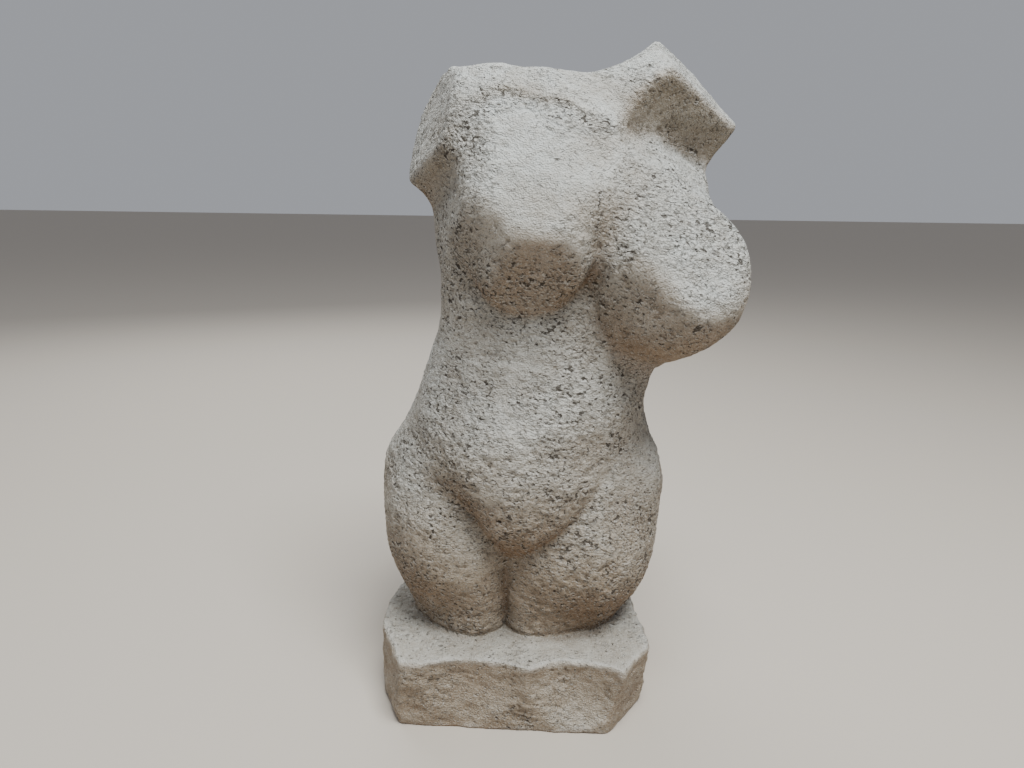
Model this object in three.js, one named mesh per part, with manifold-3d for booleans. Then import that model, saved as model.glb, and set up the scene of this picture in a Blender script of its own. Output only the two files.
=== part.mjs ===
// A cast-stone torso of a standing woman, arms and head cut away, on the rough block cast with it.
// The torso and its block are one solid. It is a blend of rounded masses, such as the rib cage, the hips
// and the thighs, cut off by flat planes at the neck and the arms, and then turned into faces.
// Millimetres, +Z up. The figure faces -Y, and its own right side is at -X. The origin is at the middle of
// the underside of the block, on the surface that the statue stands on.
import * as THREE from "three";
import { mergeVertices } from "three/addons/utils/BufferGeometryUtils.js";
import Module from "manifold-3d";

// Driving sizes
const FIGURE_HEIGHT = 313; // from the top of the block to the highest point, on the raised left arm
const FIGURE_ACROSS = -3; // the middle of the figure's stance, from the middle of the block
const FIGURE_BACK = 3;
const BLOCK_WIDTH = 148;
const BLOCK_DEPTH = 112;
const BLOCK_HEIGHT = 42;
const CORNER_CUT = 16; // struck off each front corner, along the front
const SCOOP_DEPTH = 8; // of the two rough hollows on the block's front
const EDGE_WEAR = 2; // how far the block's edges are worn round
const ROWS_OF_FACES = 51; // from the ground to the top

// The figure's pose and proportions are worked out at this height, and are shares of it
const MODELLED_HEIGHT = 313;
const MODELLED_LOW = [-88, -78]; // a box round the modelled figure, seen from above
const MODELLED_HIGH = [122, 78];
const figureScale = FIGURE_HEIGHT / MODELLED_HEIGHT;

const radians = THREE.MathUtils.degToRad;
const smoothstep = (low, high, x) => THREE.MathUtils.smoothstep(x, low, high);
const mix = THREE.MathUtils.lerp;

// Blends of two distances: the smaller, the larger, or the first without the second, over a width
function join(a, b, width) {
  const h = Math.max(width - Math.abs(a - b), 0) / width;
  return Math.min(a, b) - (h * h * width) / 4;
}
function keepInside(a, b, width) {
  return -join(-a, -b, width);
}
function cutAway(a, b, width) {
  return keepInside(a, -b, width);
}

// A frame of its own for some masses: at a place, turned about Z, then nodded about X and leant about Y.
// It gives a function from a point of the figure to a point of the frame.
function frameAt([x, y, z], { yaw = 0, nod = 0, lean = 0 }) {
  const turned = new THREE.Matrix4().makeRotationFromEuler(
    new THREE.Euler(radians(nod), radians(lean), radians(yaw), "ZYX"),
  );
  const e = turned.elements;
  return (p) => {
    const dx = p[0] - x;
    const dy = p[1] - y;
    const dz = p[2] - z;
    return [
      e[0] * dx + e[1] * dy + e[2] * dz,
      e[4] * dx + e[5] * dy + e[6] * dz,
      e[8] * dx + e[9] * dy + e[10] * dz,
    ];
  };
}

// Distance to an ellipsoid, near enough at its surface
function egg(at, [rx, ry, rz], turns = {}) {
  const toLocal = frameAt(at, turns);
  return (p) => {
    const [x, y, z] = toLocal(p);
    const near = Math.hypot(x / rx, y / ry, z / rz);
    const slope = Math.hypot(x / (rx * rx), y / (ry * ry), z / (rz * rz));
    return slope < 1e-9 ? -Math.min(rx, ry, rz) : (near * (near - 1)) / slope;
  };
}

// Distance to a limb that tapers from one round end to the other, its depth a share of its width
function limb(from, to, startRadius, endRadius, depthShare = 1) {
  const [ax, ay, az] = from;
  const dx = to[0] - ax;
  const dy = (to[1] - ay) / depthShare;
  const dz = to[2] - az;
  const lengthSquared = dx * dx + dy * dy + dz * dz;
  return (p) => {
    const px = p[0] - ax;
    const py = (p[1] - ay) / depthShare;
    const pz = p[2] - az;
    const t = THREE.MathUtils.clamp((px * dx + py * dy + pz * dz) / lengthSquared, 0, 1);
    const gap = Math.hypot(px - t * dx, py - t * dy, pz - t * dz) - mix(startRadius, endRadius, t);
    return gap * Math.min(1, depthShare);
  };
}

// Distance in front of a flat cut that passes through a point and faces a direction
function flatCut([x, y, z], facing) {
  const n = new THREE.Vector3(...facing).normalize();
  return (p) => (p[0] - x) * n.x + (p[1] - y) * n.y + (p[2] - z) * n.z;
}

// The hips, belly, thighs and seat
const hips = egg([6.5, 8, 80], [80, 44, 52], { yaw: -8 });
const waist = egg([12, 5, 130], [59, 36, 54], { lean: 4 });
const belly = egg([9, -6, 110], [50, 40, 60], { yaw: -4, lean: 6 });
const pubis = egg([1, -14, 84], [38, 36, 42], { yaw: -6 });
const rightGroin = flatCut([-15, -46, 69], [-0.86, -0.12, -0.5]);
const leftGroin = flatCut([34, -40, 70], [0.62, -0.12, -0.78]);
const rightThigh = egg([-34.5, 2, 54], [36.5, 42, 52], { lean: -3 });
const leftThigh = egg([38, 1, 47], [44, 44, 52], { lean: 4 });
const rightLeg = limb([-30, 2, -8], [-30, 4, 40], 23.5, 32);
const leftLeg = limb([30, 2, -8], [36, 4, 40], 28, 38);
const rightInnerThigh = limb([-18, -15, -8], [-17, -19, 44], 15, 16);
const leftInnerThigh = limb([13, -15, -8], [14, -19, 46], 15, 16);
const rightSeat = egg([-30, 28, 66], [38, 34, 42]);
const leftSeat = egg([40, 30, 70], [40, 34, 42]);

function lowerBody(p) {
  let d = join(hips(p), waist(p), mix(24, 50, smoothstep(0, 40, p[1])));
  const rightSide = join(join(rightThigh(p), rightLeg(p), 8), rightInnerThigh(p), 16);
  const leftSide = join(join(leftThigh(p), leftLeg(p), 8), leftInnerThigh(p), 16);
  const legs = join(rightSide, leftSide, 4);
  const seat = join(rightSeat(p), leftSeat(p), 4);
  d = join(d, legs, 12);
  d = join(d, seat, 12);
  let front = join(belly(p), pubis(p), 24);
  front = keepInside(front, rightGroin(p), 12);
  front = keepInside(front, leftGroin(p), 6);
  return join(d, front, mix(4, 34, smoothstep(66, 112, p[2] - 0.35 * p[0])));
}

// The rib cage, shoulders, breasts and arms
const ribs = egg([23.5, 8, 198], [63, 44, 74], { yaw: 15 });
const yoke = egg([22, 15, 258], [72, 33, 46], { yaw: 12 });
const rightChest = limb([8, 0, 262], [8, -30, 216], 27, 30);
const breastbone = limb([32, 2, 262], [35, -16, 232], 27, 26);
const rightBreast = egg([7, -32, 210], [31, 33, 31], { yaw: -6 });
const rightBreastTop = flatCut([9, -63, 217], [-0.05, -0.8, 0.6]);
const rightBreastSide = flatCut([-10, -52, 226], [-0.72, -0.68, -0.1]);
const rightBreastUnder = flatCut([8, -61, 216], [-0.08, -0.86, -0.5]);
const leftChest = limb([58, 2, 237], [72, -20, 210], 25, 27);
const leftBreast = egg([77, -25, 195], [40, 38, 40], { yaw: 30 });
const leftBreastTop = flatCut([60, -60, 200], [0.3, -0.84, 0.45]);
const leftBreastInner = flatCut([54, -56, 208], [-0.45, -0.83, -0.32]);
const rightArm = limb([-4, 14, 268], [-49, 13, 263], 32, 27);
const rightShoulder = limb([-8, 12, 274], [-44, 16, 273], 25, 24);
const rightFlank = limb([-40, 16, 248], [-26, 12, 205], 12, 11);
const rightArmCut = flatCut([-44.5, 10, 266], [-1, -0.36, 0.33]);
const rightArmpitTop = flatCut([-34.5, -22.5, 256.5], [-0.7, -0.52, -0.49]);
const rightArmpitSide = flatCut([-25.5, -36, 237], [-0.93, -0.27, 0.15]);
const leftArm = limb([57, 17, 250], [106, 17, 305], 37, 29);
const leftShoulder = limb([42, -3, 254], [68, -2, 277], 22, 23);
const leftFlank = limb([84, 12, 252], [87, -4, 215], 12, 16);
const leftArmCut = flatCut([88, 0, 290], [0.65, -0.3, 0.7]);
const leftArmFront = flatCut([66.5, -22, 289.5], [0.45, -0.775, -0.44]);
const leftChestSlope = flatCut([61, -8.5, 260], [0.435, -0.403, 0.805]);
const leftChestEdge = flatCut([54, -21, 270], [0.92, -0.35, -0.15]);
const rightBlade = egg([-10, 34, 238], [26, 16, 36], { yaw: -14 });
const leftBlade = egg([50, 34, 244], [26, 16, 36], { yaw: 30 });
const neckCut = flatCut([-27, 0, 296], [0.08, 0.02, 1]);

function upperBody(p) {
  let d = join(ribs(p), yoke(p), 30);
  const lowered = join(rightArm(p), rightShoulder(p), 8);
  d = join(d, join(lowered, rightFlank(p), 12), 12);
  let rightSide = join(rightChest(p), rightBreast(p), 10);
  rightSide = keepInside(rightSide, rightBreastTop(p), 5);
  rightSide = keepInside(rightSide, rightBreastSide(p), 5);
  rightSide = keepInside(rightSide, rightBreastUnder(p), 5);
  d = join(d, breastbone(p), 20);
  d = join(d, rightSide, mix(6, 34, smoothstep(190, 240, p[2])));
  d = join(d, rightBlade(p), 16);
  d = join(d, leftBlade(p), 16);
  d = keepInside(d, neckCut(p), 2);
  d = keepInside(d, rightArmCut(p), 2);
  d = cutAway(d, keepInside(-rightArmpitTop(p), -rightArmpitSide(p), 6), 3);
  const raised = keepInside(join(leftArm(p), leftShoulder(p), 14), leftArmCut(p), 3);
  d = join(join(d, raised, 18), leftFlank(p), 10);
  const armpit = keepInside(-leftArmFront(p), -leftChestSlope(p), 6);
  d = cutAway(d, keepInside(armpit, -leftChestEdge(p), 12), 4);
  let leftSide = join(leftChest(p), leftBreast(p), 10);
  leftSide = keepInside(leftSide, leftBreastTop(p), 5);
  leftSide = keepInside(leftSide, leftBreastInner(p), 6);
  const fold = mix(8, 36, smoothstep(56, 80, p[0]));
  return join(d, leftSide, mix(fold, 14, smoothstep(175, 225, p[2])));
}

// The rough block, with its top at z = 0. Its front corners are struck off, and its front has two hollows.
const front = -BLOCK_DEPTH / 2;
const back = BLOCK_DEPTH / 2;
const left = BLOCK_WIDTH / 2;
const right = -BLOCK_WIDTH / 2;
const blockTop = flatCut([0, 0, 0], [0, -0.04, 1]);
const blockSides = [
  flatCut([0, front, 0], [-0.05, -1, -0.1]),
  flatCut([left - CORNER_CUT, front, 0], [0.79, -0.59, -0.17]),
  flatCut([left, front * 0.6, 0], [1, 0.08, 0]),
  flatCut([0, back, 0], [0, 1, 0.04]),
  flatCut([right * 0.94, back * 0.4, 0], [-0.93, 0.37, 0]),
  flatCut([right, 0, 0], [-1, 0.04, 0]),
  flatCut([right + CORNER_CUT, front, 0], [-0.92, -0.39, 0]),
];
const bottomCorner = flatCut([right + CORNER_CUT / 2, front, 4 - BLOCK_HEIGHT], [-0.6, -0.35, -0.72]);
const scoopReach = 3 * SCOOP_DEPTH;
const scoopMiddle = front + SCOOP_DEPTH - scoopReach;
const scoops = [
  egg([right * 0.34, scoopMiddle, -0.38 * BLOCK_HEIGHT], [left * 0.6, scoopReach, BLOCK_HEIGHT * 1.05]),
  egg([left * 0.42, scoopMiddle, -0.34 * BLOCK_HEIGHT], [left * 0.45, scoopReach, BLOCK_HEIGHT * 0.95]),
];

function block(p) {
  let d = blockTop(p);
  for (const side of blockSides) d = keepInside(d, side(p), EDGE_WEAR);
  for (const scoop of scoops) d = cutAway(d, scoop(p), EDGE_WEAR);
  return keepInside(d, bottomCorner(p), 3 * EDGE_WEAR);
}

// How deep a groove is pressed into one side of the figure, along a line of points that each give an x and
// a z. It can fade towards its ends.
function groove(p, side, line, depth, width, fade = () => 0) {
  if (p[1] * side < 0) return 0;
  let near = Infinity;
  for (let n = 1; n < line.length; n++) {
    const [ax, az] = line[n - 1];
    const [dx, dz] = [line[n][0] - ax, line[n][1] - az];
    const along = THREE.MathUtils.clamp(((p[0] - ax) * dx + (p[2] - az) * dz) / (dx * dx + dz * dz), 0, 1);
    near = Math.min(near, Math.hypot(p[0] - ax - along * dx, p[2] - az - along * dz));
  }
  return depth * Math.exp(-((near / width) ** 2) - fade(p));
}

const underCollarBones = [[-16, 275], [-8, 279], [6, 277], [24, 272], [40, 266]];
const collarFade = (p) => ((p[0] - 7) / 27) ** 4;
const spine = [[22, 272], [26, 220], [16, 150], [8, 100]];

function figure(p) {
  const d = join(lowerBody(p), upperBody(p), 24);
  return d + groove(p, -1, underCollarBones, 2.6, 5, collarFade) + groove(p, 1, spine, 3.5, 12);
}

// The whole form in the part's own frame: negative inside
function statue(x, y, z) {
  const fromBlock = [x - FIGURE_ACROSS, y - FIGURE_BACK, z - BLOCK_HEIGHT];
  const p = fromBlock.map((v) => v / figureScale);
  return join(figure(p) * figureScale, block([x, y, z - BLOCK_HEIGHT]), EDGE_WEAR);
}

// The eight corners of a cell, its twelve edges and its six faces
const corners = [0, 1, 2, 3, 4, 5, 6, 7].map((c) => [c & 1, (c >> 1) & 1, c >> 2]);
const cellEdges = corners.flatMap((_, corner) => {
  return [1, 2, 4].filter((bit) => !(corner & bit)).map((bit) => [corner, corner | bit]);
});
const cellFaces = [[1, 2], [2, 4], [1, 4]].flatMap(([u, v]) => {
  const across = 7 - u - v;
  return [0, across].map((c) => [c, c | u, c | u | v, c | v]);
});

// Whether the surface would meet itself along an edge or at a point in a cell, from which corners are inside
function isPinched(inside) {
  const crossed = cellFaces.some(([a, b, c, d]) => {
    return inside[a] === inside[c] && inside[b] === inside[d] && inside[a] !== inside[b];
  });
  if (crossed) return true;
  const group = corners.map((_, c) => c);
  for (let round = 0; round < 3; round++)
    for (const [a, b] of [...cellEdges, ...cellEdges.toReversed()])
      if (inside[a] === inside[b]) group[a] = group[b] = Math.min(group[a], group[b]);
  return new Set(group).size > 2;
}

// Fills the corners of the grid that would leave the surface pinched, the shallowest first
function fillPinches(values, corner, [nx, ny, nz], cell) {
  const offsets = corners.map(([a, b, c]) => corner(a, b, c));
  const known = new Map();
  let changed = true;
  while (changed) {
    changed = false;
    for (let k = 0; k < nz - 1; k++)
      for (let j = 0; j < ny - 1; j++)
        for (let i = 0; i < nx - 1; i++) {
          const places = offsets.map((offset) => corner(i, j, k) + offset);
          const inside = places.map((place) => values[place] < 0);
          const key = inside.reduce((sum, is, c) => sum + (is ? 1 << c : 0), 0);
          if (key === 0 || key === 255) continue;
          if (!known.has(key)) known.set(key, isPinched(inside));
          if (!known.get(key)) continue;
          const outside = places.filter((place) => values[place] >= 0);
          const shallowest = outside.reduce((a, b) => (values[b] < values[a] ? b : a));
          values[shallowest] = -0.001 * cell;
          changed = true;
        }
  }
}

// Turns a form into a closed mesh of triangles. Each cell that the surface crosses has one vertex, put
// where the surface's own planes meet, so that edges and creases stay sharp.
function facesOf(form, low, high, cell) {
  const counts = low.map((v, k) => Math.ceil((high[k] - v) / cell) + 1);
  const [nx, ny, nz] = counts;
  const at = (i, j, k) => (k * ny + j) * nx + i;
  const values = new Float64Array(nx * ny * nz);
  for (let k = 0; k < nz; k++)
    for (let j = 0; j < ny; j++)
      for (let i = 0; i < nx; i++)
        values[at(i, j, k)] = form(low[0] + i * cell, low[1] + j * cell, low[2] + k * cell);
  fillPinches(values, at, counts, cell);

  const step = cell * 0.02;
  const slopeAt = ([x, y, z]) => {
    const g = new THREE.Vector3(
      form(x + step, y, z) - form(x - step, y, z),
      form(x, y + step, z) - form(x, y - step, z),
      form(x, y, z + step) - form(x, y, z - step),
    );
    return g.normalize();
  };

  const vertexOf = new Int32Array(nx * ny * nz).fill(-1);
  const vertices = [];
  for (let k = 0; k < nz - 1; k++)
    for (let j = 0; j < ny - 1; j++)
      for (let i = 0; i < nx - 1; i++) {
        const v = corners.map(([a, b, c]) => values[at(i + a, j + b, k + c)]);
        const cellLow = [i, j, k].map((c, n) => low[n] + c * cell);
        const crossings = [];
        for (const [a, b] of cellEdges) {
          if (v[a] < 0 === v[b] < 0) continue;
          const start = corners[a].map((c, n) => cellLow[n] + c * cell);
          const end = corners[b].map((c, n) => cellLow[n] + c * cell);
          const point = crossingPoint(form, start, end, v[a], v[b]);
          crossings.push([point, slopeAt(point)]);
        }
        if (!crossings.length) continue;
        vertexOf[at(i, j, k)] = vertices.length;
        vertices.push(meetingPoint(crossings, cellLow, cell));
      }

  const triangles = [];
  const middle = (a, b) => Math.abs(form(...a.map((c, n) => (c + b[n]) / 2)));
  const quad = (a, b, c, d) => {
    const [va, vb, vc, vd] = [a, b, c, d].map((n) => vertices[n]);
    if (middle(va, vc) <= middle(vb, vd)) triangles.push(a, b, c, a, c, d);
    else triangles.push(b, c, d, b, d, a);
  };
  const around = [
    [[0, 0, 0], [0, -1, 0], [0, -1, -1], [0, 0, -1]],
    [[0, 0, 0], [0, 0, -1], [-1, 0, -1], [-1, 0, 0]],
    [[0, 0, 0], [-1, 0, 0], [-1, -1, 0], [0, -1, 0]],
  ];
  const ahead = [[1, 0, 0], [0, 1, 0], [0, 0, 1]];
  for (let k = 1; k < nz - 1; k++)
    for (let j = 1; j < ny - 1; j++)
      for (let i = 1; i < nx - 1; i++)
        for (let axis = 0; axis < 3; axis++) {
          const [a, b, c] = ahead[axis];
          const here = values[at(i, j, k)] < 0;
          if (here === values[at(i + a, j + b, k + c)] < 0) continue;
          const ring = around[axis].map(([p, q, r]) => vertexOf[at(i + p, j + q, k + r)]);
          if (here) quad(...ring);
          else quad(...ring.reverse());
        }
  return { vertices: new Float32Array(vertices.flat()), triangles: new Uint32Array(triangles) };
}

// Where the surface crosses the line between two points, from the form's values there
function crossingPoint(form, start, end, startValue, endValue) {
  let [lowShare, highShare] = [0, 1];
  let point = start;
  for (let round = 0; round < 4; round++) {
    const share = lowShare + ((highShare - lowShare) * startValue) / (startValue - endValue);
    point = start.map((s, n) => mix(s, end[n], share));
    const here = form(...point);
    if (here < 0 === startValue < 0) [lowShare, startValue] = [share, here];
    else [highShare, endValue] = [share, here];
  }
  return point;
}

// The point of a cell that lies nearest to the planes of all its crossings, held near their middle
function meetingPoint(crossings, cellLow, cell) {
  const mean = [0, 1, 2].map((n) => crossings.reduce((sum, [q]) => sum + q[n], 0) / crossings.length);
  const hold = 0.1;
  const m = new THREE.Matrix3().set(hold, 0, 0, 0, hold, 0, 0, 0, hold);
  const e = m.elements;
  const right = new THREE.Vector3();
  for (const [q, n] of crossings) {
    const normal = [n.x, n.y, n.z];
    const offset = normal.reduce((sum, c, k) => sum + c * (q[k] - mean[k]), 0);
    for (let r = 0; r < 3; r++) for (let c = 0; c < 3; c++) e[c * 3 + r] += normal[r] * normal[c];
    right.addScaledVector(n, offset);
  }
  right.applyMatrix3(m.invert());
  return [right.x, right.y, right.z].map((v, k) =>
    THREE.MathUtils.clamp(mean[k] + v, cellLow[k], cellLow[k] + cell),
  );
}

const wasm = await Module();
wasm.setup();

function solidOf(vertProperties, triVerts) {
  return new wasm.Manifold(new wasm.Mesh({ numProp: 3, vertProperties, triVerts }));
}

// The form runs on below the ground, and is cut off flat there
const height = BLOCK_HEIGHT + FIGURE_HEIGHT;
const cell = height / ROWS_OF_FACES;
const margin = 3 * cell;
const figureLow = [FIGURE_ACROSS + MODELLED_LOW[0] * figureScale, FIGURE_BACK + MODELLED_LOW[1] * figureScale];
const figureHigh = [FIGURE_ACROSS + MODELLED_HIGH[0] * figureScale, FIGURE_BACK + MODELLED_HIGH[1] * figureScale];
const low = [Math.min(right, figureLow[0]) - margin, Math.min(front, figureLow[1]) - margin, -margin];
const high = [Math.max(left, figureHigh[0]) + margin, Math.max(back, figureHigh[1]) + margin, height + margin];
const cutBelow = (x, y, z) => Math.max(statue(x, y, z), -z - margin / 2);
const rough = facesOf(cutBelow, low, high, cell);
const across = 4 * (high[0] - low[0]);
const space = new THREE.BoxGeometry(across, across, 2 * height);
space.translate(0, 0, height);
space.deleteAttribute("normal");
space.deleteAttribute("uv");
const aboveGround = mergeVertices(space);
const cast = solidOf(rough.vertices, rough.triangles).intersect(
  solidOf(aboveGround.attributes.position.array, new Uint32Array(aboveGround.index.array)),
);

const stone = new THREE.MeshStandardMaterial({ color: 0xa79e95, roughness: 0.95, metalness: 0 });
const made = cast.getMesh();
const geometry = new THREE.BufferGeometry();
geometry.setAttribute("position", new THREE.BufferAttribute(new Float32Array(made.vertProperties), 3));
geometry.setIndex(new THREE.BufferAttribute(new Uint32Array(made.triVerts), 1));
geometry.computeVertexNormals();
const torso = new THREE.Mesh(geometry, stone);
torso.name = "torso_on_block";

const statueGroup = new THREE.Group();
statueGroup.add(torso);
export default statueGroup;
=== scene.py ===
"""A cast-stone torso of a standing woman, head and arms cut away, on the rough block cast with it.

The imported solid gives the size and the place. This script makes the surface that is seen: the same rounded
masses and flat cuts, meshed finely, with the shallow hand-worked dishes, the crumbly skin and the pits of
cast stone, and one stone material whose colour, roughness and relief are worked out by nodes.
"""
import itertools
import math

import bpy
import numpy as np
from mathutils import Euler, Matrix, Vector


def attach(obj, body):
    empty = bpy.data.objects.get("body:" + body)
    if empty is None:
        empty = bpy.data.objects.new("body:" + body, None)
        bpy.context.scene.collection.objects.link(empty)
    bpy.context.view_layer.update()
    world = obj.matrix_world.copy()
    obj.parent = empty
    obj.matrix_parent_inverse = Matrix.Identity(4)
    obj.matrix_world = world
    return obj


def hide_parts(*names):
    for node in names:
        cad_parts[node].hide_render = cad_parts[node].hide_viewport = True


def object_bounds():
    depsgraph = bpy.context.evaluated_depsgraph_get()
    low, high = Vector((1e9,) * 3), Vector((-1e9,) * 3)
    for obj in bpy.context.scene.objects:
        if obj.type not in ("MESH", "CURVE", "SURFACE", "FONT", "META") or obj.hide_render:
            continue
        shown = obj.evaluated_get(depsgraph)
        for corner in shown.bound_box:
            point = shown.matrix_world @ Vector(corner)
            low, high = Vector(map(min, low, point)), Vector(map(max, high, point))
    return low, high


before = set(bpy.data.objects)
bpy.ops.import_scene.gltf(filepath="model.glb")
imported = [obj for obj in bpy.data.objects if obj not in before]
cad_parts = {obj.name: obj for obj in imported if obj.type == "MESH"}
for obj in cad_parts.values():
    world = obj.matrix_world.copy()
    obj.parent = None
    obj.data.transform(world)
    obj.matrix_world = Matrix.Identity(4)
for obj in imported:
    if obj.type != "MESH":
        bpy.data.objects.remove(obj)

cad_low, cad_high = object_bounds()

# Sizes in millimetres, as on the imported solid. The figure faces -Y and its own right side is at -X.
MODELLED_TOP = 355.0  # the highest point, on the raised left arm
FIGURE_ACROSS = -3
FIGURE_BACK = 3
BLOCK_WIDTH = 148
BLOCK_DEPTH = 112
BLOCK_HEIGHT = 42
CORNER_CUT = 16
SCOOP_DEPTH = 8
EDGE_WEAR = 2
BLOCK_UNEVEN = 0.6  # how far the block's rough sides wander
BELLY_PROUD = 0.8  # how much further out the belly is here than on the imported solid, for crisper folds

# The mesh of the skin, in millimetres and triangles
SKIN_LOW = [-82.0, -68, -6]
SKIN_HIGH = [120.0, 74, 362]
SKIN_CELL = 1.1
COARSE_STEPS = 4  # cells of the skin to a cell of the first rough search
MOST_TRIANGLES = 192000

metres = cad_high.z / MODELLED_TOP  # to a modelled millimetre


# Blends of two distances: the smaller, the larger, or the first without the second, over a width
def join(a, b, width):
    h = np.maximum(width - np.abs(a - b), 0) / width
    return np.minimum(a, b) - h * h * width / 4


def keep_inside(a, b, width):
    return -join(-a, -b, width)


def cut_away(a, b, width):
    return keep_inside(a, -b, width)


def mix(a, b, share):
    return a + (b - a) * share


def smoothstep(low, high, x):
    t = np.clip((x - low) / (high - low), 0, 1)
    return t * t * (3 - 2 * t)


# The masses. Each gives a function from points to their distance in front of its surface.
def egg(at, radii, yaw=0, nod=0, lean=0):
    """An ellipsoid, turned about Z, nodded about X and leant about Y."""
    turn = np.array(Euler(map(math.radians, (nod, lean, yaw)), "XYZ").to_matrix())
    radii = np.array(radii, float)

    def distance(p):
        local = (p - at) @ turn
        near = np.linalg.norm(local / radii, axis=-1)
        slope = np.linalg.norm(local / radii**2, axis=-1)
        return near * (near - 1) / np.maximum(slope, 1e-9)

    return distance


def limb(start, end, start_radius, end_radius):
    """A limb that tapers from one round end to the other."""
    start = np.array(start, float)
    way = np.array(end) - start

    def distance(p):
        t = np.clip((p - start) @ way / (way @ way), 0, 1)
        gap = np.linalg.norm(p - start - t[..., None] * way, axis=-1)
        return gap - mix(start_radius, end_radius, t)

    return distance


def flat_cut(at, facing):
    """What lies in front of a plane."""
    normal = np.array(facing, float) / np.linalg.norm(facing)
    return lambda p: (p - at) @ normal


# Noise that is the same on every run
NOISE_VALUES = 4096


def value_at(corner):
    """Which of the random values belongs to a corner of the lattice."""
    x, y, z = np.moveaxis(corner, -1, 0)
    return (x * 73856093 ^ y * 19349663 ^ z * 83492791) % NOISE_VALUES


def lumps(p, size, seed):
    """Smooth noise from -1 to 1, with one random value at each corner of a lattice of that size."""
    table = np.random.default_rng(seed).uniform(-1, 1, NOISE_VALUES)
    corner = np.floor(p / size).astype(np.int64)
    share = p / size - corner
    share = share**3 * (share * (share * 6 - 15) + 10)
    total = np.zeros(p.shape[:-1])
    for step in itertools.product((0, 1), repeat=3):
        weight = np.prod(np.where(step, share, 1 - share), axis=-1)
        total += weight * table[value_at(corner + step)]
    return total


def layered(p, size, seed, layers=3):
    """Lumps with finer lumps on them."""
    return sum(lumps(p, size / 2**n, seed + n) / 2**n for n in range(layers))


def nearest_grain(p, size, stretch, seed):
    """Distance from each point to the nearest of scattered grains, as a share of the size, and its grain's
    own random value. The grains are wider than they are tall by the stretch."""
    scaled = p * np.array([1, 1, stretch]) / size
    home = np.floor(scaled).astype(np.int64)
    values = np.random.default_rng(seed).uniform(0, 1, (NOISE_VALUES, 4))
    nearest = np.full(p.shape[:-1], 9.0)
    own = np.zeros(p.shape[:-1])
    for step in itertools.product((-1, 0, 1), repeat=3):
        cell = home + step
        grain = values[value_at(cell)]
        away = np.linalg.norm(scaled - cell - grain[..., :3], axis=-1)
        own = np.where(away < nearest, grain[..., 3], own)
        nearest = np.minimum(nearest, away)
    return nearest, own


# The hips, belly, thighs and seat
hips = egg([6.5, 8, 80], [80, 44, 52], yaw=-8)
waist = egg([12, 5, 130], [59, 36, 54], lean=4)
belly = egg([9, -6, 110], [50, 40, 60], yaw=-4, lean=6)
pubis = egg([1, -14, 84], [38, 36, 42], yaw=-6)
right_groin = flat_cut([-15, -46, 69], [-0.86, -0.12, -0.50])
left_groin = flat_cut([34, -40, 70], [0.62, -0.12, -0.78])
right_thigh = egg([-34.5, 2, 54], [36.5, 42, 52], lean=-3)
left_thigh = egg([38, 1, 47], [44, 44, 52], lean=4)
right_leg = limb([-30, 2, -8], [-30, 4, 40], 23.5, 32)
left_leg = limb([30, 2, -8], [36, 4, 40], 28, 38)
right_inner_thigh = limb([-18, -15, -8], [-17, -19, 44], 15, 16)
left_inner_thigh = limb([13, -15, -8], [14, -19, 46], 15, 16)
right_seat = egg([-30, 28, 66], [38, 34, 42])
left_seat = egg([40, 30, 70], [40, 34, 42])


def lower_body(p):
    x, y, z = np.moveaxis(p, -1, 0)
    d = join(hips(p), waist(p), mix(24, 50, smoothstep(0, 40, y)))
    right_side = join(join(right_thigh(p), right_leg(p), 8), right_inner_thigh(p), 16)
    left_side = join(join(left_thigh(p), left_leg(p), 8), left_inner_thigh(p), 16)
    legs = join(right_side, left_side, 1.5)
    seat = join(right_seat(p), left_seat(p), 4)
    d = join(d, legs, 12)
    d = join(d, seat, 12)
    front = join(belly(p), pubis(p), 24)
    front = keep_inside(front, right_groin(p), 12)
    front = keep_inside(front, left_groin(p), 6)
    return join(d, front - BELLY_PROUD, mix(1.5, 26, smoothstep(74, 116, z - 0.35 * x)))


# The rib cage, shoulders, breasts and arms
ribs = egg([23.5, 8, 198], [63, 44, 74], yaw=15)
yoke = egg([22, 15, 258], [72, 33, 46], yaw=12)
right_chest = limb([8, 0, 262], [8, -30, 216], 27, 30)
breastbone = limb([32, 2, 262], [35, -16, 232], 27, 26)
right_breast = egg([7, -32, 210], [31, 33, 31], yaw=-6)
right_breast_top = flat_cut([9, -63, 217], [-0.05, -0.8, 0.6])
right_breast_side = flat_cut([-10, -52, 226], [-0.72, -0.68, -0.1])
right_breast_under = flat_cut([8, -61, 216], [-0.08, -0.86, -0.50])
left_chest = limb([58, 2, 237], [72, -20, 210], 25, 27)
left_breast = egg([77, -25, 195], [40, 38, 40], yaw=30)
left_breast_top = flat_cut([60, -60, 200], [0.3, -0.84, 0.45])
left_breast_inner = flat_cut([54, -56, 208], [-0.45, -0.83, -0.32])
right_arm = limb([-4, 14, 268], [-49, 13, 263], 32, 27)
right_shoulder = limb([-8, 12, 274], [-44, 16, 273], 25, 24)
right_arm_cut = flat_cut([-44.5, 10, 266], [-1, -0.36, 0.33])
right_flank = limb([-40, 16, 248], [-26, 12, 205], 12, 11)
right_armpit_top = flat_cut([-34.5, -22.5, 256.5], [-0.70, -0.52, -0.49])
right_armpit_side = flat_cut([-25.5, -36, 237], [-0.93, -0.27, 0.15])
left_arm = limb([57, 17, 250], [106, 17, 305], 37, 29)
left_shoulder = limb([42, -3, 254], [68, -2, 277], 22, 23)
left_arm_cut = flat_cut([88, 0, 290], [0.65, -0.3, 0.7])
left_arm_front = flat_cut([66.5, -22, 289.5], [0.45, -0.775, -0.44])
left_flank = limb([84, 12, 252], [87, -4, 215], 12, 16)
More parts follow.
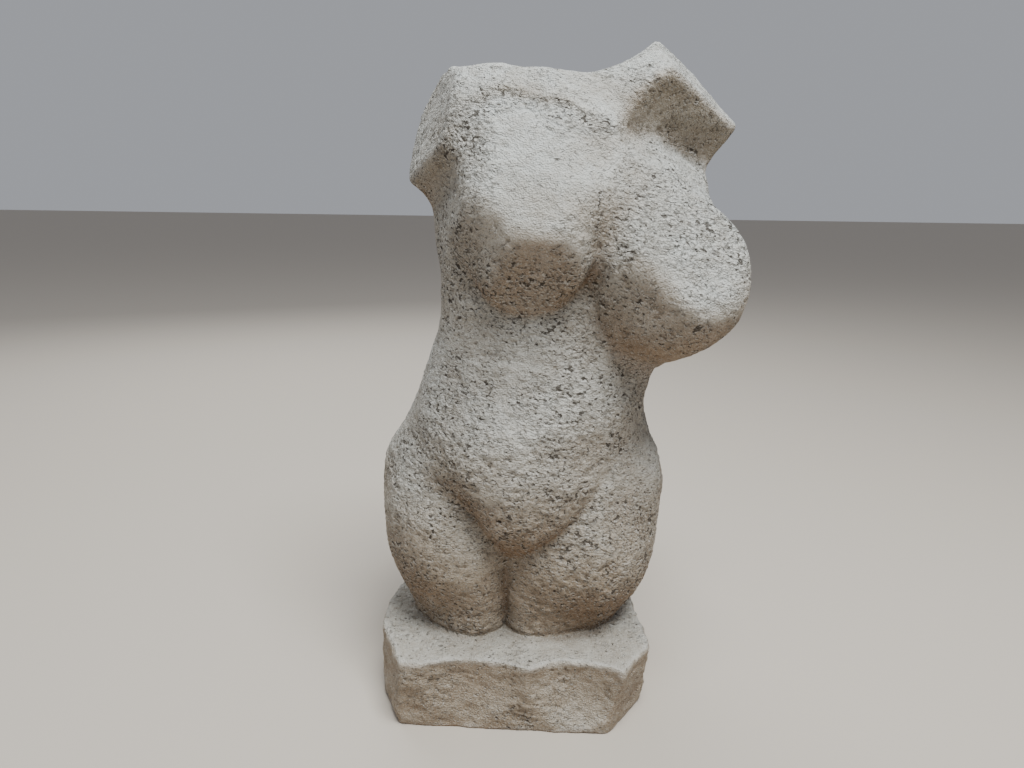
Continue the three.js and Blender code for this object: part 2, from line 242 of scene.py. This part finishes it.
left_chest_slope = flat_cut([61, -8.5, 260], [0.435, -0.403, 0.805])
left_chest_edge = flat_cut([54, -21, 270], [0.92, -0.35, -0.15])
right_blade = egg([-10, 34, 238], [26, 16, 36], yaw=-14)
left_blade = egg([50, 34, 244], [26, 16, 36], yaw=30)
neck_cut = flat_cut([-27, 0, 296], [0.08, 0.02, 1])


def upper_body(p):
    x, z = p[..., 0], p[..., 2]
    d = join(ribs(p), yoke(p), 30)
    arm = join(right_arm(p), right_shoulder(p), 8)
    d = join(d, join(arm, right_flank(p), 12), 12)
    right_side = join(right_chest(p), right_breast(p), 10)
    right_side = keep_inside(right_side, right_breast_top(p), 5)
    right_side = keep_inside(right_side, right_breast_side(p), 5)
    right_side = keep_inside(right_side, right_breast_under(p), 5)
    d = join(d, breastbone(p), 20)
    d = join(d, right_side, mix(2, 34, smoothstep(190, 240, z)))
    d = join(d, right_blade(p), 16)
    d = join(d, left_blade(p), 16)
    d = keep_inside(d, neck_cut(p), 2)
    d = keep_inside(d, right_arm_cut(p), 2)
    armpit = keep_inside(-right_armpit_top(p), -right_armpit_side(p), 6)
    d = cut_away(d, armpit, 3)
    arm = keep_inside(join(left_arm(p), left_shoulder(p), 14), left_arm_cut(p), 3)
    armpit = keep_inside(-left_arm_front(p), -left_chest_slope(p), 6)
    armpit = keep_inside(armpit, -left_chest_edge(p), 12)
    d = join(join(d, arm, 18), left_flank(p), 10)
    d = cut_away(d, armpit, 4)
    left_side = join(left_chest(p), left_breast(p), 10)
    left_side = keep_inside(left_side, left_breast_top(p), 5)
    left_side = keep_inside(left_side, left_breast_inner(p), 6)
    fold = mix(3, 36, smoothstep(56, 80, x))
    return join(d, left_side, mix(fold, 14, smoothstep(175, 225, z)))


def to_line(p, line):
    """Distance, seen from the front, to a line of points that each give an x and a z."""
    flat = p[..., [0, 2]]
    nearest = np.full(p.shape[:-1], np.inf)
    for start, end in zip(line, line[1:]):
        way = np.subtract(end, start)
        along = np.clip((flat - start) @ way / (way @ way), 0, 1)
        nearest = np.minimum(nearest, np.linalg.norm(flat - start - along[..., None] * way, axis=-1))
    return nearest


UNDER_COLLAR_BONES = [[-16, 275], [-8, 279], [6, 277], [24, 272], [40, 266]]
SPINE = [[22, 272], [26, 220], [16, 150], [8, 100]]


def figure(p):
    d = join(lower_body(p), upper_body(p), 24)
    collar = 2.6 * np.exp(-((to_line(p, UNDER_COLLAR_BONES) / 5) ** 2) - ((p[..., 0] - 7) / 27) ** 4)
    back = 3.5 * np.exp(-((to_line(p, SPINE) / 12) ** 2))
    return d + np.where(p[..., 1] < 0, collar, back)


# The rough block, with its top at z = 0
front = -BLOCK_DEPTH / 2
back = BLOCK_DEPTH / 2
left = BLOCK_WIDTH / 2
right = -BLOCK_WIDTH / 2
block_top = flat_cut([0, 0, 0], [0, -0.04, 1])
block_sides = [
    flat_cut([0, front, 0], [-0.05, -1, -0.1]),
    flat_cut([left - CORNER_CUT, front, 0], [0.79, -0.59, -0.17]),
    flat_cut([left, front * 0.6, 0], [1, 0.08, 0]),
    flat_cut([0, back, 0], [0, 1, 0.04]),
    flat_cut([right * 0.94, back * 0.4, 0], [-0.93, 0.37, 0]),
    flat_cut([right, 0, 0], [-1, 0.04, 0]),
    flat_cut([right + CORNER_CUT, front, 0], [-0.92, -0.39, 0]),
]
bottom_corner = flat_cut([right + CORNER_CUT / 2, front, -BLOCK_HEIGHT + 4], [-0.6, -0.35, -0.72])
scoop_reach = 3 * SCOOP_DEPTH
scoop_middle = front + SCOOP_DEPTH - scoop_reach
scoops = [
    egg([right * 0.34, scoop_middle, -0.38 * BLOCK_HEIGHT], [left * 0.6, scoop_reach, BLOCK_HEIGHT * 1.05]),
    egg([left * 0.42, scoop_middle, -0.34 * BLOCK_HEIGHT], [left * 0.45, scoop_reach, BLOCK_HEIGHT * 0.95]),
]


def block(p):
    uneven = BLOCK_UNEVEN * np.stack([layered(p, 11, seed) for seed in (10, 20, 30)], axis=-1)
    rough = p + uneven
    d = block_top(p)
    for side in block_sides:
        d = keep_inside(d, side(rough), EDGE_WEAR)
    for scoop in scoops:
        d = cut_away(d, scoop(rough), 1)
    return keep_inside(d, bottom_corner(p), 6)


def statue(p):
    """The whole form, from points in millimetres in the part's own frame: negative inside."""
    on_block = p - [0, 0, BLOCK_HEIGHT]
    d = figure(on_block - [FIGURE_ACROSS, FIGURE_BACK, 0])
    low = on_block[..., 2] < 2 * EDGE_WEAR
    d[low] = join(d[low], block(on_block[low]), EDGE_WEAR)
    return keep_inside(d, -p[..., 2], 1)


# From the form to a closed mesh
def form_on_grid(form, low, high, cell):
    """The form's values on a fine grid. Away from the surface only their sign is right."""
    coarse = cell * COARSE_STEPS
    counts = [math.ceil((b - a) / coarse) + 1 for a, b in zip(low, high)]
    blocks = np.stack(np.meshgrid(*map(np.arange, counts), indexing="ij"), axis=-1)
    middles = low + blocks * coarse + (coarse - cell) / 2
    values = form(middles)
    for axis in range(3):
        values = values.repeat(COARSE_STEPS, axis)
    places = np.argwhere(np.abs(values) < coarse)
    for part in np.array_split(places, 1 + len(places) // 200000):
        values[tuple(part.T)] = form(low + part * cell)
    return values


def mesh_of(form, low, high, cell):
    """A vertex in each cell that the surface crosses, and a face round each grid line that crosses it."""
    values = form_on_grid(form, low, high, cell)
    inside = values < 0
    ends = [slice(None, -1), slice(1, None)]
    count = sum(inside[tuple(corner)].astype(np.int8) for corner in itertools.product(ends, repeat=3))
    cells = np.argwhere((count > 0) & (count < 8))
    number = np.full(inside.shape, -1, np.int32)
    number[tuple(cells.T)] = np.arange(len(cells))

    total = np.zeros((len(cells), 3))
    crossings = np.zeros(len(cells))
    faces = []
    for axis in range(3):
        ahead = np.eye(3, dtype=int)[axis]
        one, other = np.eye(3, dtype=int)[(axis + 1) % 3], np.eye(3, dtype=int)[(axis + 2) % 3]
        for shift in (0 * one, one, other, one + other):
            start = cells + shift
            a = values[tuple(start.T)]
            b = values[tuple((start + ahead).T)]
            hit = (a < 0) != (b < 0)
            share = a[hit] / (a[hit] - b[hit])
            total[hit] += start[hit] + share[:, None] * ahead
            crossings[hit] += 1
        before, after = [[slice(None)] * 3 for _ in range(2)]
        before[axis], after[axis] = ends
        crossed = np.argwhere(inside[tuple(before)] != inside[tuple(after)])
        round_it = (0 * one, one, one + other, other)
        ring = np.stack([number[tuple((crossed - offset).T)] for offset in round_it], axis=-1)
        leaving = inside[tuple(crossed.T)]
        faces.append(np.where(leaving[:, None], ring, ring[:, ::-1]))
    return low + cell * total / crossings[:, None], np.concatenate(faces)


def slope(form, p, step=0.4):
    """The direction straight out of the surface, and how steeply the form grows that way."""
    grown = [form(p + step * axis) - form(p - step * axis) for axis in np.eye(3)]
    slopes = np.stack(grown, axis=-1) / (2 * step)
    steepness = np.maximum(np.linalg.norm(slopes, axis=-1, keepdims=True), 0.2)
    return slopes / steepness, steepness


# Where the skin is smoother or more pitted than elsewhere: a place in the part's frame, how far it reaches
# and how much it adds
SMOOTH_PATCHES = [
    ((8, -48, 280), 25, -0.62),
    ((31, -27, 320), 18, -0.6),
    ((-4, -30, 322), 22, -0.35),
    ((1, -46, 168), 8, -0.5),
    ((-29, -36, 167), 10, -0.35),
    ((3, -38, 196), 9, -0.45),
    ((-39, -37, 91), 30, -0.15),
    ((66, -52, 246), 12, -0.5),
    ((-8, -41, 181), 6, -0.5),
]
PITTED_PATCHES = [
    ((-28, -28, 301), 15, 0.5),
    ((62, -44, 266), 26, 0.25),
    ((12, -38, 205), 26, 0.15),
    ((30, -40, 160), 30, 0.15),
    ((-30, -30, 150), 26, 0.3),
    ((-37, -11, 240), 34, 0.3),
    ((100, -20, 250), 22, 0.35),
    ((-60, -10, 130), 26, 0.25),
]

# The forms of the worked skin, in millimetres
DISH = 30  # broad shallow dishes with ridges between them
SMALL_DISH = 17
TOOL_LUMP = 12
BEND = 5  # lumps that push the marks about, and how far
BEND_REACH = 1.6
SKIN_CRUMB = 4.6
SKIN_RIDGE = 8
SKIN_PIT = 3.4
MARKS_SLOPE = 0.22  # the marks lie nearly level, and drop towards the figure's left
MARKS_TURN = -math.atan(MARKS_SLOPE)


def nearness(p, place, reach):
    """From 1 at a place to nearly 0 at twice its reach."""
    return np.exp(-(np.linalg.norm(p - place, axis=-1) / reach) ** 2)


def pitting(p):
    """How pitted the skin is, from 0 to 1."""
    amount = 0.58 + 0.3 * layered(p, 26, 80, 2)
    for place, reach, more in SMOOTH_PATCHES + PITTED_PATCHES:
        amount += more * nearness(p, place, reach)
    on_figure = p - [FIGURE_ACROSS, FIGURE_BACK, BLOCK_HEIGHT]
    under_collar = np.exp(-((to_line(on_figure, UNDER_COLLAR_BONES) / 5) ** 2))
    amount += np.where(p[..., 1] < 0, 0.9 * under_collar, 0)
    amount -= 0.45 * smoothstep(BLOCK_HEIGHT + 2, BLOCK_HEIGHT - 2, p[..., 2])
    return np.clip(amount, 0, 1)


def crumbling(p, out):
    """How strongly the skin is broken into crumbs: more below the waist and on the block's rough sides."""
    on_block = smoothstep(BLOCK_HEIGHT + 4, BLOCK_HEIGHT - 4, p[..., 2])
    upright = smoothstep(0.9, 0.5, np.abs(out[..., 2]))
    on_figure = 0.3 + 0.6 * smoothstep(250, 140, p[..., 2])
    smooth = sum(nearness(p, place, reach) for place, reach, _ in SMOOTH_PATCHES)
    return mix(on_figure * (1 - 0.7 * np.clip(smooth, 0, 1)), 0.75 * upright, on_block)


def skin_relief(p, out):
    """How far the worked skin stands out from the plain form: shallow dishes with ridges between them, then
    crumbs and finer ridges along the marks, and the larger pits."""
    dished = np.abs(lumps(p, DISH, 42)) + 0.5 * np.abs(lumps(p, SMALL_DISH, 43))
    hand_worked = 0.3 * layered(p, TOOL_LUMP, 40, 2) + 0.6 - 1.4 * dished
    bent = p + BEND_REACH * np.stack([lumps(p, BEND, seed) for seed in (1, 2, 3)], axis=-1)
    bent[..., 2] += MARKS_SLOPE * bent[..., 0]
    away, _ = nearest_grain(bent, SKIN_CRUMB, 1.6, 50)
    ridges = 0.35 - np.abs(layered(bent * [1, 1, 1.8], SKIN_RIDGE, 60, 3))
    crumbs = 0.6 * (0.55 - away) + 0.9 * ridges
    away, own = nearest_grain(bent, SKIN_PIT, 2.0, 70)
    pits = smoothstep(0.5, 0.2, away) * (own < 0.6 * pitting(p))
    return hand_worked + crumbling(p, out) * crumbs - 0.8 * pits


def make_skin():
    """The mesh of the whole casting, in metres."""
    vertices, faces = mesh_of(statue, np.array(SKIN_LOW), np.array(SKIN_HIGH), SKIN_CELL)
    out, steepness = slope(statue, vertices)
    vertices = vertices - out * statue(vertices)[:, None] / steepness
    standing = smoothstep(0, 4, vertices[:, 2])
    vertices = vertices + out * (skin_relief(vertices, out) * standing)[:, None]
    vertices[:, 2] = np.where(vertices[:, 2] < 0.3, 0, vertices[:, 2])

    mesh = bpy.data.meshes.new("torso")
    mesh.from_pydata((vertices * metres).tolist(), [], faces.tolist())
    torso = bpy.data.objects.new("torso", mesh)
    bpy.context.scene.collection.objects.link(torso)
    mesh.polygons.foreach_set("use_smooth", [True] * len(mesh.polygons))
    return torso


def thin_out(piece, most):
    """Fewer triangles, kept where the skin is roughest."""
    triangles = sum(len(face.vertices) - 2 for face in piece.data.polygons)
    fewer = piece.modifiers.new("fewer", "DECIMATE")
    fewer.ratio = min(1, most / triangles)
    baked = bpy.data.meshes.new_from_object(piece.evaluated_get(bpy.context.evaluated_depsgraph_get()))
    piece.modifiers.clear()
    piece.data = baked


def record_skin(piece):
    """Keeps at each vertex what the material needs: edges, hollows for the painted shade in them, how far
    the skin is raised from the plain form, how pitted it is and how far it faces up, for the painted shade
    on what faces down."""
    p = np.array([v.co for v in piece.data.vertices]) / metres
    out, _ = slope(statue, p, 1.5)
    depth = 4.0
    values = {
        "crest": (statue(p - out * depth) + depth) / depth,
        "hollow": (depth - statue(p + out * depth)) / depth,
        "raised": statue(p),
        "pitting": pitting(p),
        "facing_up": out[..., 2] * 0.5 + 0.5,
    }
    for name, value in values.items():
        kept = piece.data.attributes.new(name, "FLOAT", "POINT")
        kept.data.foreach_set("value", value.astype(np.float32))


# Short ways to put nodes into a material
def put(tree, value, socket):
    """Joins an output to a socket, or sets a plain value on it."""
    if isinstance(value, bpy.types.NodeSocket):
        tree.links.new(value, socket)
    else:
        socket.default_value = value


def maths(tree, operation, a, b=0.0):
    made = tree.nodes.new("ShaderNodeMath")
    made.operation = operation
    put(tree, a, made.inputs[0])
    put(tree, b, made.inputs[1])
    return made.outputs[0]


def ramp(tree, value, low, high, at_low=0.0, at_high=1.0):
    """A smooth step of a value, from one amount at low to another at high."""
    made = tree.nodes.new("ShaderNodeMapRange")
    made.interpolation_type = "SMOOTHSTEP"
    for socket, amount in zip(made.inputs, (value, low, high, at_low, at_high)):
        put(tree, amount, socket)
    return made.outputs[0]


def blend(tree, share, a, b, kind="MIX"):
    made = tree.nodes.new("ShaderNodeMix")
    made.data_type = "RGBA"
    made.blend_type = kind
    put(tree, share, made.inputs[0])
    put(tree, a, made.inputs[6])
    put(tree, b, made.inputs[7])
    return made.outputs[2]


def attribute(tree, name):
    made = tree.nodes.new("ShaderNodeAttribute")
    made.attribute_name = name
    return made.outputs["Fac"]


def noise(tree, place, size, detail=2.0):
    """Noise from 0 to 1, with lumps of that size in metres."""
    made = tree.nodes.new("ShaderNodeTexNoise")
    made.inputs["Scale"].default_value = 1 / size
    made.inputs["Detail"].default_value = detail
    tree.links.new(place, made.inputs["Vector"])
    return made.outputs["Fac"]


def stretched(tree, place, stretch):
    """The same place turned along the marks and with its height drawn out, so that they come out flatter."""
    made = tree.nodes.new("ShaderNodeMapping")
    made.inputs["Scale"].default_value = (1, 1, stretch)
    turned = tree.nodes.new("ShaderNodeMapping")
    turned.inputs["Rotation"].default_value = (0, MARKS_TURN, 0)
    tree.links.new(place, turned.inputs["Vector"])
    tree.links.new(turned.outputs[0], made.inputs["Vector"])
    return made.outputs[0]


def moved(tree, place, shift):
    """The same place shifted by a fixed step."""
    made = tree.nodes.new("ShaderNodeVectorMath")
    made.inputs[1].default_value = shift
    tree.links.new(place, made.inputs[0])
    return made.outputs[0]


def shaken(tree, place, size, reach):
    """The same place pushed about by noise, so that marks on it come out ragged."""
    made = tree.nodes.new("ShaderNodeTexNoise")
    made.inputs["Scale"].default_value = 1 / size
    tree.links.new(place, made.inputs["Vector"])
    push = tree.nodes.new("ShaderNodeVectorMath")
    push.operation = "MULTIPLY_ADD"
    push.inputs[1].default_value = (reach, reach, reach)
    tree.links.new(made.outputs["Color"], push.inputs[0])
    tree.links.new(place, push.inputs[2])
    return push.outputs[0]


def pits(tree, place, size, detail, share, rarest, commonest):
    """Scattered ragged pits, and the lip below each: 1 on it and 0 elsewhere. Pits take up more of the
    stone as the share grows, from the rarest to the commonest level that the noise has to reach."""
    rim = ramp(tree, share, 0.0, 1.0, rarest, commonest)
    edge = maths(tree, "ADD", rim, PIT_EDGE)
    inside = ramp(tree, noise(tree, place, size, detail), rim, edge)
    above = moved(tree, place, (0, 0, size * LIP_DROP))
    under = ramp(tree, noise(tree, above, size, detail), rim, edge)
    return inside, maths(tree, "MAXIMUM", maths(tree, "SUBTRACT", under, inside), 0.0)


# The stone's colours, with painted shade and highlights among them
COOL_TONE = (0.50, 0.512, 0.49, 1)
# painted shade: the warmer tone of the stone's sides
WARM_SHADE_TONE = (0.43, 0.395, 0.34, 1)
# painted brown shade on what faces down, lower and higher on the figure
UNDERSIDE_SHADE_TINT = (0.74, 0.60, 0.48, 1)
HIGH_UNDERSIDE_SHADE_TINT = (0.68, 0.63, 0.55, 1)
LOW_TINT = (0.93, 0.84, 0.74, 1)
BLOCK_TINT = (0.83, 0.80, 0.77, 1)
# painted shade in the hollows
HOLLOW_SHADE_TINT = (0.64, 0.53, 0.44, 1)
# mottled stains, and painted shade where the skin lies below the plain form
STAIN_AND_SHADE_TINT = (0.72, 0.66, 0.60, 1)
# paler flecks, and paler where the skin stands out and on crests
PALE_TONE = (0.66, 0.64, 0.60, 1)
# painted highlight on the lower lip of each pit
LIP_HIGHLIGHT_TONE = (0.80, 0.78, 0.73, 1)
# painted shade in the pits
PIT_SHADE_TONE = (0.05, 0.038, 0.028, 1)

# The sizes of the stone's marks, and how deep they are, in metres
LARGE_PIT = 0.0036
SMALL_PIT = 0.0018
CRUMB = 0.0019
GRAIN = 0.0008
MOTTLE = 0.005
BELT = 0.014
CLOUD = 0.045
RAGGED_SIZE = 0.004
RAGGED_REACH = 0.0018
RELIEF_DEPTH = 0.002
PIT_EDGE = 0.022  # from the rim of a pit to its floor, in the noise's own units
LIP_DROP = 0.55  # from a pit to its lip, as a share of its size


def stone_marks(tree, place):
    """The marks in the stone: pits, their lips, crumbs, grain and mottle, and how pitted it is there."""
    belts = maths(tree, "SUBTRACT", noise(tree, place, BELT, 2.0), 0.5)
    share = maths(tree, "ADD", attribute(tree, "pitting"), maths(tree, "MULTIPLY", belts, 1.1))
    ragged = shaken(tree, stretched(tree, place, 1.5), RAGGED_SIZE, RAGGED_REACH)
    large_pits, large_lips = pits(tree, ragged, LARGE_PIT, 4.0, share, 0.74, 0.595)
    small_pits, small_lips = pits(tree, ragged, SMALL_PIT, 3.0, share, 0.65, 0.55)
    return {
        "share": share,
        "large_pits": large_pits,
        "small_pits": small_pits,
        "lips": maths(tree, "MAXIMUM", large_lips, small_lips),
        "crumbs": noise(tree, stretched(tree, place, 1.4), CRUMB, 3.0),
        "grain": noise(tree, place, GRAIN, 2.0),
        "mottle": noise(tree, ragged, MOTTLE, 4.0),
    }


def tone_with_painted_shade(tree, place):
    """Cool grey where the stone faces up, with painted shade that is warmer on its sides and brown where it
    faces down, as under warm light from below, and browner low down.
    """
    apart = tree.nodes.new("ShaderNodeSeparateXYZ")
    tree.links.new(place, apart.inputs[0])
    z = apart.outputs["Z"]
    up = attribute(tree, "facing_up")
    clouds = maths(tree, "SUBTRACT", noise(tree, place, CLOUD, 3.0), 0.5)
    # how far the stone faces up, with cloudy changes; it sets the painted shade on sides and undersides
    weathered = maths(tree, "ADD", up, maths(tree, "MULTIPLY", clouds, 0.3))
    # painted shade: the sides warmer than the top
    tone = blend(tree, ramp(tree, weathered, 0.40, 0.84), WARM_SHADE_TONE, COOL_TONE)
    # painted brown shade on what faces down, a little lighter high on the figure
    underside_shade = blend(tree, ramp(tree, z, 0.26, 0.30), UNDERSIDE_SHADE_TINT, HIGH_UNDERSIDE_SHADE_TINT)
    tone = blend(tree, ramp(tree, weathered, 0.47, 0.15), tone, underside_shade, "MULTIPLY")
    upright = ramp(tree, up, 0.95, 0.75, 0.55, 1.0)
    low_down = maths(tree, "MULTIPLY", ramp(tree, z, 0.20, 0.06), upright)
    tone = blend(tree, low_down, tone, LOW_TINT, "MULTIPLY")
    return blend(tree, ramp(tree, z, 0.048, 0.042), tone, BLOCK_TINT, "MULTIPLY")


def marked_tone(tree, tone, marks):
    """The tone with stains, painted shade where the skin lies low and in hollows, paler flecks, paler raised
    skin and crests, painted highlights on the pits' lips and painted shade in the pits.
    """
    raised = attribute(tree, "raised")
    layers = [
        (ramp(tree, marks["mottle"], 0.42, 0.62, 0.0, 0.35), STAIN_AND_SHADE_TINT, "MULTIPLY"),
        # painted shade where the skin lies below the plain form, in its dishes and pits
        (ramp(tree, raised, 0.2, -0.7, 0.0, 0.4), STAIN_AND_SHADE_TINT, "MULTIPLY"),
        # painted shade in the hollows
        (ramp(tree, attribute(tree, "hollow"), 0.1, 0.8, 0.0, 0.5), HOLLOW_SHADE_TINT, "MULTIPLY"),
        (ramp(tree, marks["grain"], 0.45, 0.75, 0.0, 0.35), PALE_TONE, "MIX"),
        # paler where the skin stands out and on crests
        (ramp(tree, raised, 0.25, 1.0, 0.0, 0.2), PALE_TONE, "MIX"),
        (ramp(tree, attribute(tree, "crest"), 0.2, 0.7, 0.0, 0.3), PALE_TONE, "MIX"),
        # painted highlight on each pit's lower lip, where light from above falls
        (maths(tree, "MULTIPLY", marks["lips"], 0.35), LIP_HIGHLIGHT_TONE, "MIX"),
        # painted shade in the pits
        (maths(tree, "MULTIPLY", marks["small_pits"], 0.5), PIT_SHADE_TONE, "MIX"),
        (maths(tree, "MULTIPLY", marks["large_pits"], 0.75), PIT_SHADE_TONE, "MIX"),
    ]
    for amount, colour, kind in layers:
        tone = blend(tree, amount, tone, colour, kind)
    return tone


def stone_relief(tree, marks):
    """The normal of the stone with its marks: the pits go in, and the rest stands out."""
    rough = ramp(tree, marks["share"], 0.1, 0.6, 0.35, 1.0)
    height = maths(tree, "MULTIPLY", marks["large_pits"], -1.2)
    layers = [
        (-1.0, marks["small_pits"]),
        (0.5, marks["lips"]),
        (0.7, marks["grain"]),
        (1.1, maths(tree, "MULTIPLY", marks["crumbs"], rough)),
        (2.0, maths(tree, "MULTIPLY", marks["mottle"], rough)),
    ]
    for amount, layer in layers:
        height = maths(tree, "ADD", height, maths(tree, "MULTIPLY", layer, amount))
    relief = tree.nodes.new("ShaderNodeBump")
    relief.inputs["Strength"].default_value = 1.0
    relief.inputs["Distance"].default_value = RELIEF_DEPTH
    put(tree, height, relief.inputs["Height"])
    return relief.outputs[0]


def cast_stone():
    """Matt cast stone, weathered, pitted and fine grained, with painted shade and highlights in its colour.
    """
    material = bpy.data.materials.new("cast_stone")
    material.use_nodes = True
    tree = material.node_tree
    shader = tree.nodes["Principled BSDF"]
    place = tree.nodes.new("ShaderNodeTexCoord").outputs["Object"]
    marks = stone_marks(tree, place)
    put(tree, marked_tone(tree, tone_with_painted_shade(tree, place), marks), shader.inputs["Base Color"])
    put(tree, ramp(tree, marks["mottle"], 0.3, 0.7, 0.82, 0.96), shader.inputs["Roughness"])
    shader.inputs["Specular IOR Level"].default_value = 0.3
    put(tree, stone_relief(tree, marks), shader.inputs["Normal"])
    return material


# The camera, the floor and the light
IMAGE_WIDTH = 1024
FOCAL_LENGTH = 740  # in pixels of that width
CAMERA_PLACE = Vector((-3, -390, 274.4))
CAMERA_PITCH = 14.0
CAMERA_ROLL = 0.8
SENSOR = 36.0
FLOOR_REACH = 12
STATUE_MIDDLE = (0.02, 0, 0.2)
LIGHT_COLOUR = (0.97, 1.0, 1.0)
SKY_COLOUR = (0.90, 0.93, 1.0, 1)


def make_camera():
    data = bpy.data.cameras.new("camera")
    data.sensor_width = SENSOR
    data.lens = SENSOR * FOCAL_LENGTH / IMAGE_WIDTH
    data.clip_start = 0.01
    camera = bpy.data.objects.new("camera", data)
    look = Matrix.Rotation(math.radians(90 - CAMERA_PITCH), 4, "X")
    roll = Matrix.Rotation(math.radians(CAMERA_ROLL), 4, "Z")
    camera.matrix_world = Matrix.Translation(CAMERA_PLACE * metres) @ look @ roll
    bpy.context.scene.collection.objects.link(camera)
    bpy.context.scene.camera = camera


def make_floor():
    reach = FLOOR_REACH
    corners = [(-reach, -reach, 0), (reach, -reach, 0), (reach, reach, 0), (-reach, reach, 0)]
    mesh = bpy.data.meshes.new("floor")
    mesh.from_pydata(corners, [], [(0, 1, 2, 3)])
    floor = bpy.data.objects.new("floor", mesh)
    bpy.context.scene.collection.objects.link(floor)
    paint = bpy.data.materials.new("pale_floor")
    paint.use_nodes = True
    shader = paint.node_tree.nodes["Principled BSDF"]
    shader.inputs["Base Color"].default_value = (0.47, 0.42, 0.36, 1)
    shader.inputs["Roughness"].default_value = 0.8
    mesh.materials.append(paint)


def make_area_light(name, place, size, power):
    data = bpy.data.lights.new(name, "AREA")
    data.size = size
    data.energy = power
    data.color = LIGHT_COLOUR
    light = bpy.data.objects.new(name, data)
    light.location = place
    light.rotation_euler = (Vector(STATUE_MIDDLE) - Vector(place)).to_track_quat("-Z", "Y").to_euler()
    bpy.context.scene.collection.objects.link(light)


def make_light():
    world = bpy.data.worlds.new("studio")
    world.use_nodes = True
    sky = world.node_tree.nodes["Background"]
    sky.inputs["Color"].default_value = SKY_COLOUR
    sky.inputs["Strength"].default_value = 0.40
    bpy.context.scene.world = world
    make_area_light("overhead", (0.25, -0.46, 1.35), 0.6, 33)
    make_area_light("behind", (-0.4, 0.9, 0.9), 1.0, 9)


make_camera()
make_floor()
make_light()
torso = make_skin()
thin_out(torso, MOST_TRIANGLES)
record_skin(torso)
torso.data.materials.append(cast_stone())
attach(torso, "root")
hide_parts("torso_on_block")
